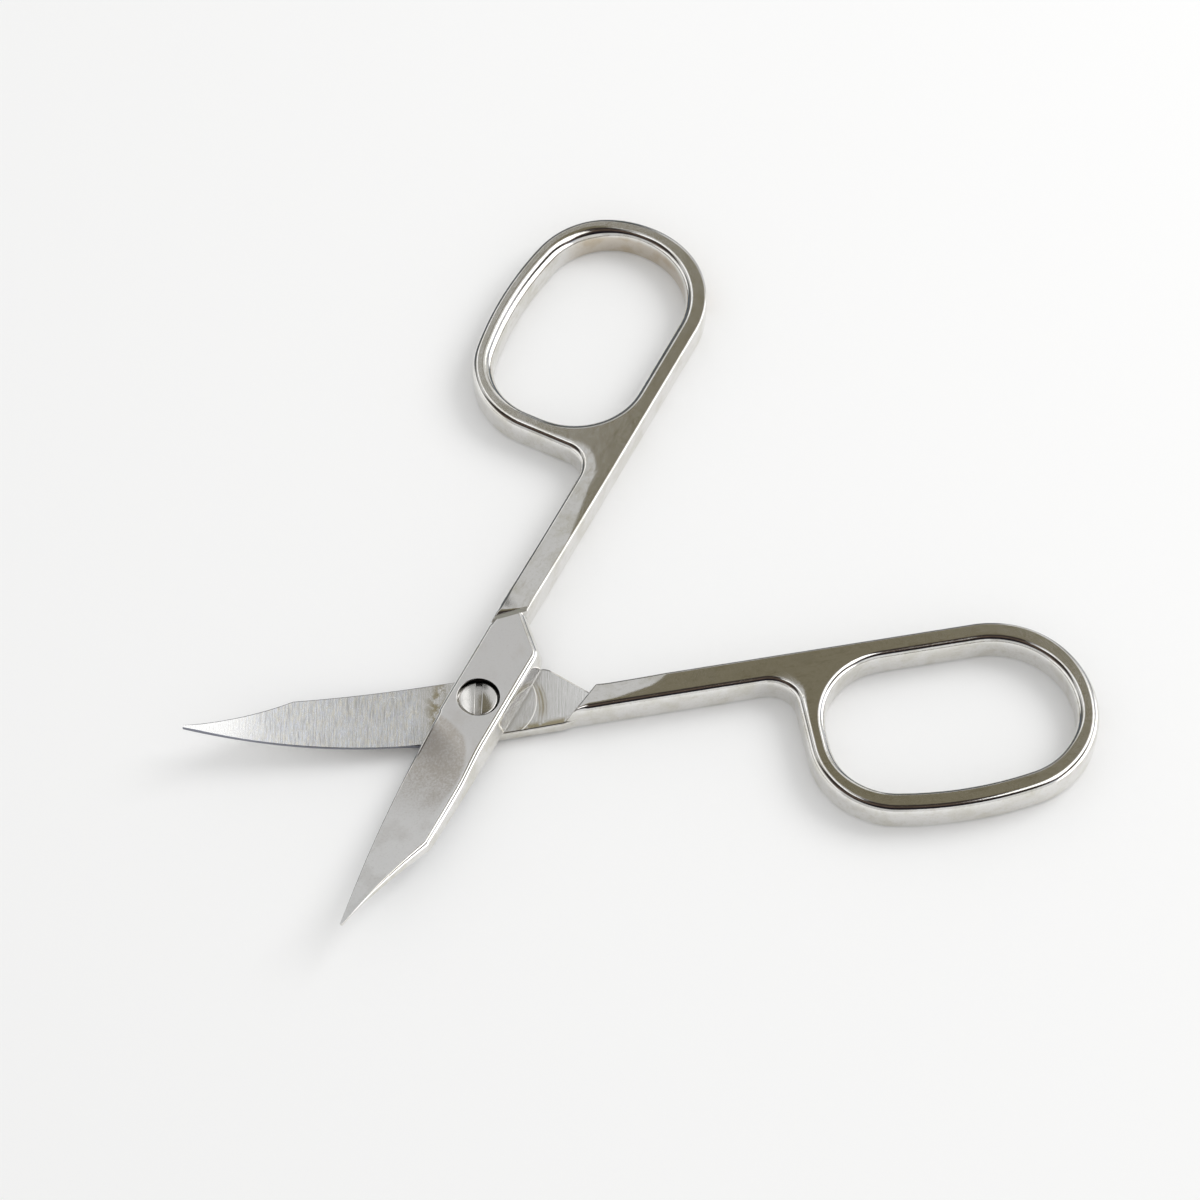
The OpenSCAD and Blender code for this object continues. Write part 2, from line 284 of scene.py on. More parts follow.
satinLook = {
    # tip and its span: a painted highlight, paler towards the blade's tip
    "colour": (0.655, 0.65, 0.645), "tip": (0.98, 0.975, 0.96), "paintedTipLightSpan": (-4.0, -26.0),
    # the brown colour and the patch keys: painted shade where the ground face tilts away from the plate
    "bevelShadeBrown": (0.49, 0.455, 0.41), "strip": (0.33, 0.32, 0.27), "stripSpan": (12.07, 12.11), "stripShare": 0.9,
    "rough": 0.36, "cloudRough": 0.10, "lineRough": 0.12, "grain": 0.0025, "metal": 0.6,
    "lineNoise": (1.0, 5.0, 0.65, (0.35, 9.0, 3.0)), "cloudNoise": (0.30, 4.0, 0.6),
    "fineNoise": (4.2, 4.0, 0.7), "patchCentre": (-8.9, -2.5), "patchRadius": (5.3, 4.8),
    "patchEnd": (-17.0, -8.5), "patchWobble": 1.2, "patchSqueeze": -0.35,
}


def makeSatin(name, half):
    # satin polished plate: fine lines along the blade, faint clouds, painted shade as a browner patch with
    # one crisp round side where the ground face tilts, a painted highlight paling the tip and the darker
    # strip of the upper shoulder
    look = satinLook
    material, tree, shader, at = startMaterial(name)
    u, v = halfWires(at, half)
    local = u.join(v, at.dot((0.0, 0.0, 1.0)))
    lines = local.noise(*look["lineNoise"])
    cloud = local.noise(*look["cloudNoise"])
    fine = local.noise(*look["fineNoise"])
    # painted shade: a browner patch where the ground face tilts away from the plate, one side crisp and
    # round; the fine and cloud mottling laid over it is random tone
    du, dv = u - look["patchCentre"][0], v - look["patchCentre"][1]
    du = du.maths("MAXIMUM", du, du * look["patchSqueeze"])
    wobble = (cloud - 0.5) * look["patchWobble"]
    bevelShade = (reach(du, dv) + wobble).step(*look["patchRadius"]) * u.step(*look["patchEnd"])
    mottleAndBevelShade = bevelShade * (fine.step(0.32, 0.62) * 0.6 + 0.35)
    mottleAndBevelShade = mottleAndBevelShade + fine.step(0.50, 0.72) * 0.22 + cloud.step(0.48, 0.66) * 0.22
    # painted highlight: the colour pales towards the tip
    colour = mottleAndBevelShade.mix(u.step(*look["paintedTipLightSpan"]).mix(look["colour"], look["tip"]), look["bevelShadeBrown"])
    colour = ((u - v).step(*look["stripSpan"]) * look["stripShare"]).mix(colour, look["strip"])
    rough = look["rough"] + (cloud - 0.5) * look["cloudRough"] + (lines - 0.5) * look["lineRough"]
    relief = lines.relief(look["grain"])
    feed(tree, shader, colour, look["metal"], rough, relief)
    return material


groundLook = {
    "colour": (0.79, 0.79, 0.785), "plate": (0.74, 0.74, 0.735), "plateSpan": (1.0, 3.0),
    # tip, with its span and share: a painted highlight, paler towards the blade's tip
    "bladeSpan": (-5.0, -7.5), "tip": (1.0, 1.0, 0.99), "paintedTipLightSpan": (-21.0, -27.5), "paintedTipLightShare": 0.95,
    "shade": (0.49, 0.49, 0.49), "stain": (0.31, 0.26, 0.13), "bare": (0.97, 0.96, 0.92),
    "rough": 0.28, "plateRough": 0.15, "lineRough": 0.16, "grain": 0.010, "metal": 0.75, "slant": 0.185,
    "lineNoise": (1.0, 6.0, 0.75, (13.0, 0.5, 1.0)), "middleNoise": (1.0, 5.0, 0.75, (6.5, 0.28, 1.0)),
    "wideNoise": (1.0, 3.0, 0.6, (1.7, 0.25, 1.0)), "hueNoise": (1.0, 4.0, 0.75, (5.0, 0.8, 1.0)),
    "spotNoise": (0.9, 4.0, 0.65),
    "hues": [(0.30, (0.88, 0.76, 0.82)), (0.42, (0.76, 0.82, 0.91)), (0.52, (0.83, 0.83, 0.82)),
             (0.62, (0.89, 0.85, 0.74)), (0.74, (0.74, 0.87, 0.80))],
    # each ring: radius, half width and share; each scratch: its arc's centre and radius
    "rings": [(6.75, 0.8, 0.35), (6.45, 0.13, 0.4), (6.8, 0.16, 0.45), (7.15, 0.12, 0.25)],
    "arc": (1.34, 0.67, 4.88), "hook": (-8.9, 2.2, 0.8),
}


def makeGround(name, half):
    # inner face ground across the blade: straight fine lines with a faint rainbow, wear rings about the
    # pivot, stains, two bright scratches and a painted highlight paling the blade towards its tip
    look = groundLook
    material, tree, shader, at = startMaterial(name)
    u, v = halfWires(at, half)
    local = (u - v * look["slant"]).join(v)
    lines = local.noise(*look["lineNoise"])
    middle = local.noise(*look["middleNoise"])
    wide = local.noise(*look["wideNoise"])
    hue = local.noise(*look["hueNoise"])
    spots = local.noise(*look["spotNoise"])
    onBlade = u.step(*look["bladeSpan"])
    tint = hue.node("ShaderNodeValToRGB", {"stops": look["hues"]}, {0: hue})
    colour = (onBlade * 0.85).mix(u.step(*look["plateSpan"]).mix(look["colour"], look["plate"]), tint)
    contrast = wide.step(0.4, 0.7) * 0.15 + middle.step(0.46, 0.62) * 0.5 + lines.step(0.48, 0.64) * 0.5
    colour = (contrast * (onBlade + 0.12)).mix(colour, look["shade"])
    # painted highlight: the colour pales towards the tip
    colour = (u.step(*look["paintedTipLightSpan"]) * look["paintedTipLightShare"]).mix(colour, look["tip"])
    radius = reach(u, v)
    rings = sum(radius.bump(centre, width) * share for centre, width, share in look["rings"])
    band = rings * u.step(3.0, 4.0) * v.step(2.6, 0.8) * v.step(-3.2, -1.2)
    blotch = radius.bump(4.6, 1.5) * u.step(-2.4, -3.6) * spots.step(0.42, 0.56) * 0.85
    near = v.bump(-3.2, 0.7) * u.step(3.0, 4.5) * u.step(10.0, 8.5) * spots.step(0.30, 0.50) * 0.85
    stain = band + blotch + near
    colour = stain.mix(colour, look["stain"])
    hookU, hookV, hookRadius = look["hook"]
    hook = reach(u - hookU, v - hookV).bump(hookRadius, 0.09) * (v - hookV).step(0.0, 0.3)
    arcU, arcV, arcRadius = look["arc"]
    arc = reach(u - arcU, v - arcV).bump(arcRadius, 0.11) * u.step(2.6, 3.4) * v.step(2.4, 1.4)
    scratch = arc + hook * 0.5
    colour = scratch.mix(colour, look["bare"])
    rough = (look["rough"] - look["plateRough"]) * onBlade + look["plateRough"]
    rough = rough + (lines - 0.5) * look["lineRough"] - scratch * 0.15 + stain * 0.1
    relief = (lines * 0.5 + middle).relief(look["grain"])
    feed(tree, shader, colour, look["metal"] - scratch * 0.6, rough, relief)
    return material


screwLook = {
    "colour": (0.67, 0.66, 0.64), "fleckAndRimDark": (0.36, 0.34, 0.29), "rough": 0.13, "grain": 0.004,
    "ringNoise": (7.0, 3.0, 0.6), "fleckNoise": (3.0, 4.0, 0.6),
    "rimSpan": (1.8, 2.08), "slotSpan": (3.62, 3.52),
}


def makeScrewSteel(name):
    # turned and buffed head: rings about the axis, grime in flecks, darker towards the rim, duller in the
    # slot
    look = screwLook
    material, tree, shader, at = startMaterial(name)
    x, y, z = (at.dot(axis) for axis in ((1.0, 0.0, 0.0), (0.0, 1.0, 0.0), (0.0, 0.0, 1.0)))
    radius = reach(x, y)
    rings = radius.join(0.0).noise(*look["ringNoise"])
    fleck = at.noise(*look["fleckNoise"])
    # darker in flecks and towards the rim of the head
    fleckAndRimDark = radius.step(*look["rimSpan"]) * 0.35 + fleck.step(0.56, 0.75) * 0.25
    colour = fleckAndRimDark.mix(look["colour"], look["fleckAndRimDark"])
    rough = look["rough"] + (rings - 0.5) * 0.08 + fleckAndRimDark * 0.2 + z.step(*look["slotSpan"]) * 0.1
    feed(tree, shader, colour, 1.0, rough, rings.relief(look["grain"]))
    return material


handleDims = {
    "nearX": 33.0, "farX": 64.2, "innerY": -0.25, "depth": 21.2,
    "rootRadius": 10.0, "farInnerRadius": 10.9, "farOuterRadius": 10.1, "nearRadius": 9.3,
    "band": 2.3, "lowRadius": 42.0, "neckRadius": 3.0, "shankWidth": 3.1, "height": 3.65,
    "topEdge": 0.8, "bottomEdge": 0.55, "footEdge": 0.12, "footRun": 2.2, "spreadRun": 3.5, "slantRun": 14.0,
    "shoulder": 12.095, "crown": 0.07, "crownWidth": 0.85, "crownSoft": 0.15, "stripWidth": 0.62,
    # the rising shank: length of the rise, and where its crown begins to widen, how fast and how much
    "riseRun": 21.0, "widenFrom": 29.5, "widenRate": 0.17, "widenMost": 1.5,
    # the flat beside the lower joint lies beyond two lines: a point of each and its direction across
    "facetLines": [(20.3, -0.30, -0.607, 0.794), (18.6, -1.60, -0.193, 0.981)], "facetSoft": 0.5,
    "grooves": (0.08, 0.58), "grooveWidth": 0.06,
    # angles about the loop's middle, in radians: where the outer edge grows round, and the span of the low
    # side
    "middleBack": 8.0, "sideTurn": (1.3, 1.6), "lowTurn": (-0.3, 0.7, -3.1, 0.6),
}
# side: rounding of the outer edge; inner: of the edge towards the other handle; lowInside: of the loop's low
# side towards the finger; lowOutside: what the outer edge loses there; foot, slope: the shoulder's height and
# rise per mm; soft: how softly it turns into the top; spread: flare of the outer side at the foot; rise: what
# the top gains towards the joint; crownSpan: start and length of the crown's fade; facet: fall of the flat
# beside the joint; groove: depth of the lines along the shoulder
handleLevels = {
    "lower": {
        "side": 0.8, "inner": 0.35, "lowInside": 0.45, "lowOutside": 0.0, "foot": 1.70, "slope": 2.6,
        "soft": 0.45, "spread": 0.0, "rise": 0.0, "crownSpan": (25.0, 4.0), "facet": 0.085, "groove": 0.0},
    "upper": {
        "side": 0.45, "inner": 0.22, "lowInside": 1.25, "lowOutside": 0.25, "foot": 4.06, "slope": 0.17,
        "soft": 0.02, "spread": -0.25, "rise": 0.53, "crownSpan": (10.6, 3.0), "facet": 0.0, "groove": 0.030},
}
bendSteps = 28


def straight(a, b, normal, n):
    # points from a to b with one outward normal
    t = np.linspace(0, 1, n)[:, None]
    return np.asarray(a) * (1 - t) + np.asarray(b) * t, np.broadcast_to(np.asarray(normal, float), (n, 2))


def bend(centre, radius, start, end, n=bendSteps + 1, out=1.0):
    # arc about a centre between two angles; out is -1 where the arc is hollow
    a = np.radians(np.linspace(start, end, n))
    ray = np.stack([np.cos(a), np.sin(a)], -1)
    return np.asarray(centre) + radius * ray, ray * out


def chain(*parts):
    # joins curves end to end and drops the points they share
    points = np.concatenate([parts[0][0]] + [p[0][1:] for p in parts[1:]])
    normals = np.concatenate([parts[0][1]] + [p[1][1:] for p in parts[1:]])
    return points, normals


def ringOutline(d):
    # outside of the finger loop, from the root corner round to the near side, and the root corner itself
    top, low = d["innerY"], d["innerY"] - d["depth"]
    rootR, aR, bR, nearR = d["rootRadius"], d["farInnerRadius"], d["farOuterRadius"], d["nearRadius"]
    root = np.array([d["nearX"] + rootR, top - rootR])
    a = np.array([d["farX"] - aR, top - aR])
    b = np.array([d["farX"] - bR, low + bR])
    near = np.array([d["nearX"] + nearR, low + nearR])
    # the low side is one wide arc that touches both of its corners from outside: its centre lies where its
    # distance to each corner's centre is the difference of the radii
    toB, toNear = d["lowRadius"] - bR, d["lowRadius"] - nearR
    base = np.linalg.norm(b - near)
    part = (toNear ** 2 - toB ** 2 + base ** 2) / (2 * base)
    ray = (b - near) / base
    wide = near + ray * part + np.array([-ray[1], ray[0]]) * math.sqrt(toNear ** 2 - part ** 2)
    angleB = math.degrees(math.atan2(b[1] - wide[1], b[0] - wide[0]))
    angleNear = math.degrees(math.atan2(near[1] - wide[1], near[0] - wide[0]))
    free = chain(
        straight(root + (0, rootR), a + (0, aR), (0, 1), 9), bend(a, aR, 90, 0),
        straight(a + (aR, 0), b + (bR, 0), (1, 0), 3), bend(b, bR, 0, angleB),
        bend(wide, d["lowRadius"], angleB, angleNear, 17), bend(near, nearR, angleNear, -180),
        straight(near + (-nearR, 0), root + (-rootR, 0), (-1, 0), 4))
    return free, bend(root, rootR, 180, 90)


quarterTurn = np.radians(np.linspace(0, 90, 9))


def carryOuter(points, inward, height, top, bottom):
    # the outer side carried along a curve, from the top face round its edge (radius top, one per point), down
    # the wall and round the bottom edge; inward says how an offset moves a point
    q = quarterTurn
    top = np.broadcast_to(top, (len(points),))[:, None]
    low = np.full_like(top, bottom)
    offset = np.concatenate([top * (1 - np.sin(q)), low * (1 - np.cos(q))], 1)
    z = np.concatenate([height[:, None] - top * (1 - np.cos(q)), low * (1 - np.sin(q))], 1)
    plan = points[:, None, :] + inward[:, None, :] * offset[..., None]
    return np.concatenate([plan, z[..., None]], -1)


def shankTop(x, y, d, level, crownShare, edgeDistance):
    # level, or rising to the joint with the square of the distance; falls off along a strip at the outer
    # side, which widens towards the joint on the rising shank, and at the shoulder. The lower shank has a
    # flat ground across one corner, the upper one fine lines along its shoulder
    rising = level["rise"] > 0
    s = np.clip((d["nearX"] - x) / d["riseRun"], 0.0, None)
    z = d["height"] + level["rise"] * s * s
    width = d["crownWidth"] + rising * np.clip((d["widenFrom"] - x) * d["widenRate"], 0.0, d["widenMost"])
    strip = np.clip(width + d["topEdge"] - edgeDistance, 0.0, None)
    crownFrom, crownRun = level["crownSpan"]
    share = crownShare * smoothStep((x - crownFrom) / crownRun)
    z = z - d["crown"] * share * strip * strip / (strip + d["crownSoft"])
    sides = [(x - px) * ax + (y - py) * ay for px, py, ax, ay in d["facetLines"]]
    beyond = softMin(*sides, d["facetSoft"])
    z = z - level["facet"] * 0.5 * (beyond + np.sqrt(beyond * beyond + 0.01))
    across = x - y - d["shoulder"]
    z = softMin(z, level["foot"] + across * level["slope"], level["soft"])
    return z - level["groove"] * sum(np.exp(-((across - g) / d["grooveWidth"]) ** 2) for g in d["grooves"])


def makeHandle(name, half, level, materials):
    # loop: the band's section carried round the outline. Shank: rows between its two sides, which spread into
    # the loop
    d = handleDims
    top, bottom, h = d["topEdge"], d["bottomEdge"], d["height"]
    skin = Skin()
    free, rootArc = ringOutline(d)
    ring, ringNormals = chain(free, rootArc)
    # the edges' roundings change with the angle about the loop's middle
    fromMiddle = free[0] - (d["farX"] - d["middleBack"], d["innerY"] - 0.5 * d["depth"])
    turned = np.unwrap(np.arctan2(fromMiddle[:, 1], fromMiddle[:, 0]))
    sideFrom, sideRun = d["sideTurn"]
    lowFrom, lowRun, lowTo, lowEnd = d["lowTurn"]
    lowSide = smoothStep((lowFrom - turned) / lowRun) * smoothStep((turned - lowTo) / lowEnd)
    outside = level["inner"] + (top - level["inner"]) * smoothStep((sideFrom - turned) / sideRun)
    outside -= level["lowOutside"] * lowSide
    inside = np.concatenate([top + (level["lowInside"] - top) * lowSide, np.full(bendSteps, top)])[:, None]
    atRoot = np.linspace(top, level["inner"], bendSteps + 1)
    around = np.concatenate([outside, atRoot[1:]])[:, None]
    q = quarterTurn[1:]
    mids = np.linspace(0, 1, 7)
    flat = d["band"] - inside - around
    flatBottom = d["band"] - 2 * bottom
    full = np.ones_like(around)
    offset = np.concatenate([
        around, around + 0.02 + (flat - 0.04) * mids, d["band"] - inside,
        d["band"] - inside * (1 - np.sin(q)), full * d["band"],
        full * (d["band"] - bottom + bottom * np.cos(q)), full * (bottom + flatBottom * (1 - mids[1:]))], 1)
    z = np.concatenate([
        full * np.full(len(mids) + 2, h), h - inside * (1 - np.cos(q)),
        full * bottom, full * (bottom - bottom * np.sin(q)), full * np.zeros(len(mids) - 1)], 1)
    plan = ring[:, None, :] - ringNormals[:, None, :] * offset[..., None]
    skin.grid(place(np.concatenate([plan, z[..., None]], -1), half))
    skin.grid(place(carryOuter(free[0], -free[1], np.full(len(free[0]), h), outside, bottom), half))

    # shank sides: the straight part runs along lines parallel to the shoulder, in stations that lie closer at
    # the shoulder and at the end of the ground flat; at the foot the outer side meets the plate and the edges
    # get sharp
    outerY = d["innerY"] - d["shankWidth"]
    neck = np.array([d["nearX"] - d["neckRadius"], outerY - d["neckRadius"]])
    start = d["shoulder"]
    ends = [start, start + 0.8, start + 2.4, 19.0, 23.5, neck[0] - outerY]
    counts = [36, 15, 14, 22, 12]
    spots = np.concatenate([[start]] + [np.linspace(a, b, m)[1:] for a, b, m in zip(ends, ends[1:], counts)])
    slant = 1 - smoothStep((spots - start) / d["slantRun"])
    spreadOut = level["spread"] * (1 - smoothStep((spots - start) / d["spreadRun"]))
    leftStart = np.stack([spots + d["innerY"], np.full_like(spots, d["innerY"])], -1)
    rightStart = np.stack([spots + outerY - spreadOut, outerY - spreadOut], -1)
    n = bendSteps + 1
    leftEnd = straight(leftStart[-1], (d["nearX"] + d["rootRadius"], d["innerY"]), (0, 1), n)
    neckCurve = chain(
        bend(neck, d["neckRadius"], 90, 0, 17, out=-1.0),
        straight((d["nearX"], neck[1]), (d["nearX"], d["innerY"] - d["rootRadius"]), (-1, 0), n - 16))
    left = np.concatenate([leftStart, leftEnd[0][1:]])
    right = np.concatenate([rightStart, neckCurve[0][1:]])
    leftIn = np.concatenate([np.stack([-slant, -np.ones_like(slant)], -1), -leftEnd[1][1:]])
    rightIn = np.concatenate([np.stack([slant, np.ones_like(slant)], -1), -neckCurve[1][1:]])
    k = len(spots)
    growth = np.ones(len(left))
    growth[:k] = smoothStep((spots - start) / d["footRun"])
    leftEdge = d["footEdge"] + (level["inner"] - d["footEdge"]) * growth
    rightEdge = d["footEdge"] + (level["side"] - d["footEdge"]) * growth
    rightEdge[k - 1:] += (top - level["side"]) * smoothStep(np.linspace(0, 1, n) * 2.5)

    root = np.array([d["nearX"] + d["rootRadius"], d["innerY"] - d["rootRadius"]])
    w = np.linspace(0, 1, n)[None, :, None]

    def spread(insetLeft, insetRight):
        # rows between the two sides; the last rows bend into the arc of the loop's root corner
        l, r = left + leftIn * insetLeft[:, None], right + rightIn * insetRight[:, None]
        rows = l[:, None, :] * (1 - w) + r[:, None, :] * w
        t = np.linspace(0, 1, n)[:, None, None]
        ray = bend(root, 1.0, 90, 180)[1]
        inset = np.linspace(insetLeft[-1], insetRight[-1], n)[:, None]
        arc = (root + ray * (d["rootRadius"] - inset))[None, :, :]
        rows[k - 1:] += t * (arc - (arc[:, :1] * (1 - w) + arc[:, -1:] * w))
        return rows

    rows = spread(leftEdge, rightEdge)
    outline = right[::2]
    distance = np.sqrt(((rows[:, :, None, :] - outline[None, None, :, :]) ** 2).sum(-1)).min(-1)
    straightPart = np.arange(len(rows)) < k
    distance[straightPart] = rows[straightPart, :, 1] - outerY
    fade = np.ones(len(rows))
    fade[k - 1:] = 1 - smoothStep(np.linspace(0, 1, n))
    height = shankTop(rows[..., 0], rows[..., 1], d, level, fade[:, None], distance)
    upperSkin = place(np.concatenate([rows, height[..., None]], -1), half)
    # on the rising shank the first rows, along the shoulder, are satin
    strip = int(np.searchsorted(spots, start + d["stripWidth"])) if level["rise"] > 0 else 0
    skin.grid(upperSkin[:strip + 1], 1)
    skin.grid(upperSkin[strip:])
    low = spread(np.full(len(left), bottom), np.full(len(left), bottom))
    skin.grid(place(np.concatenate([low, np.zeros(low.shape[:2] + (1,))], -1), half))
    leftSkin = carryOuter(left, leftIn, height[:, 0], leftEdge, bottom)
    rightSkin = carryOuter(right, rightIn, height[:, -1], rightEdge, bottom)
    skin.grid(place(leftSkin, half))
    skin.grid(place(rightSkin, half))
    cap = np.concatenate([
        np.concatenate([rows[0], height[0][:, None]], -1), rightSkin[0][1:],
        np.concatenate([low[0], np.zeros((n, 1))], -1)[::-1][1:], leftSkin[0][::-1][1:]])
    skin.fan(place(cap, half))
    piece = skin.build(name, materials, sharp=40.0)
    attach(piece, "lower" if half is halves["lower"] else "upper")
    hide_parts(half["node"])


bladeDims = {
    "edgeW": 3.6, "spineW": 3.7, "reach": 31.1, "hollow": 50.0, "tipWidth": 0.25, "notch": 11.6, "lip": 0.05,
    "cornerRadius": 2.2, "curveStart": 4.3, "curveRise": 3.85, "holeZone": 3.3, "brokenEdge": (0.10, 0.22),
    # where the plate starts to run out into the ground outer face, how far that start leans, and its length
    "runFrom": 3.4, "runLean": 0.25, "runLength": 6.0,
    "nickFrom": 3.2, "nickRun": 0.5, "tailStart": 8.5, "tailEnd": 10.2, "tailSlope": 0.176,
    # stations from the tip to the belly, on to the hole and beside it, and points across a face
    "tipSteps": 30, "bellySteps": 44, "holeSteps": 25, "faceSteps": 25,
}
# face: height of the inner face; outer: of the outer plate; out: 1 if the outer face is above the inner one;
# belly: where the spine turns in to the tip; nick: step of the edge in front of the plate; bellyT, tipT:
# thickness there; draft, grind: lean of the walls and of the outer face in degrees; round: outer corner at
# the spine and at the edge; floor: height of the step in the hole
bladeForms = {
    "lower": {"face": 1.70, "outer": 0.25, "out": -1, "edgeRadius": 105.0, "belly": 19.2, "nick": 0.0,
              "bellyT": 1.4, "tipT": 0.95, "draft": 2.0, "grind": 10.0, "round": (0.30, 0.30),
              "outerHole": 1.52, "innerHole": 1.52, "floor": 0.6},
    "upper": {"face": 1.76, "outer": 4.06, "out": 1, "edgeRadius": 130.0, "belly": 18.0, "nick": 0.14,
              "bellyT": 1.4, "tipT": 0.95, "draft": 15.0, "grind": 12.0, "round": (0.65, 0.35),
              "outerHole": 2.25, "innerHole": 1.54, "floor": 3.13},
}


def innerRise(r, d=bladeDims):
    # the inner face is flat near the pivot and then follows an arc, turned about the pivot axis
    run = d["reach"] - d["curveStart"]
    radius = (run * run + d["curveRise"] ** 2) / (2 * d["curveRise"])
    over = np.clip(r - d["curveStart"], 0, None)
    return radius - np.sqrt(radius * radius - over * over)


def circleThrough(p, q, s):
    # centre of the circle through three points, from the squares of two chords over twice their cross product
    a, b = q - p, s - p
    e = 2 * (a[0] * b[1] - a[1] * b[0])
    return p + np.array([b[1] * (a @ a) - a[1] * (b @ b), a[0] * (b @ b) - b[0] * (a @ a)]) / e


def bladePlan(f, d=bladeDims):
    # the spine and the edge as two curves with matching stations, from the tip to under the shoulder: the
    # spine is a hollow arc, a straight, a rounded corner and a diagonal, the edge one wide arc, a straight
    # and a short taper
    edgeC = f["edgeRadius"] - d["edgeW"]

    def edgeY(x):
        arc = edgeC - np.sqrt(f["edgeRadius"] ** 2 - np.minimum(x, 0) ** 2)
        return arc + f["nick"] * smoothStep((-x - d["nickFrom"]) / d["nickRun"])

    belly = np.array([-f["belly"], d["spineW"]])
    tip = np.array([-d["reach"], float(edgeY(np.array(-d["reach"]))) + d["tipWidth"]])
    half = (tip - belly) / 2
    away = np.array([half[1], -half[0]]) / np.linalg.norm(half)
    c = belly + half + away * math.sqrt(d["hollow"] ** 2 - half @ half)
    x1 = np.linspace(-d["reach"], -f["belly"], d["tipSteps"])
    y1 = c[1] - np.sqrt(d["hollow"] ** 2 - (x1 - c[0]) ** 2)
    z = d["holeZone"]
    toHole = np.linspace(-f["belly"], -z, d["bellySteps"])[1:]
    x2 = np.concatenate([toHole, np.linspace(-z, z, d["holeSteps"])[1:]])
    turn = d["cornerRadius"] * math.tan(math.radians(22.5))
    cornerX = d["notch"] - d["spineW"]
    x3 = np.linspace(z, cornerX - turn, 9)[1:]
    arc = bend((cornerX - turn, d["spineW"] - d["cornerRadius"]), d["cornerRadius"], 90, 45, 9)[0][1:]
    diagonal = straight(arc[-1], (d["notch"] + 0.25, -0.25), (0, 0), 11)[0][1:]
    under = straight(diagonal[-1], (d["notch"] + 1.4, -0.8), (0, 0), 4)[0][1:]
    level = np.concatenate([x2, x3])
    spine = np.concatenate([
        np.stack([x1, y1], -1), np.stack([level, np.full_like(level, d["spineW"])], -1),
        arc, diagonal, under])
    plain = np.concatenate([x1, level])
    rest = np.linspace(x3[-1], d["tailStart"], 19)[1:]
    tail = np.linspace(d["tailStart"], d["tailEnd"], 4)[1:]
    edge = np.concatenate([
        np.stack([plain, edgeY(plain)], -1), np.stack([rest, np.full_like(rest, -d["edgeW"])], -1),
        np.stack([tail, -d["edgeW"] + (tail - d["tailStart"]) * d["tailSlope"]], -1)])
    first = d["tipSteps"] + d["bellySteps"] - 2
    return spine, edge, first, first + d["holeSteps"] - 1


def sideways(curve, sign):
    # unit vectors across a curve
    step = np.gradient(curve, axis=0)
    across = np.stack([-step[:, 1], step[:, 0]], -1) * sign
    return across / np.linalg.norm(across, axis=1, keepdims=True)


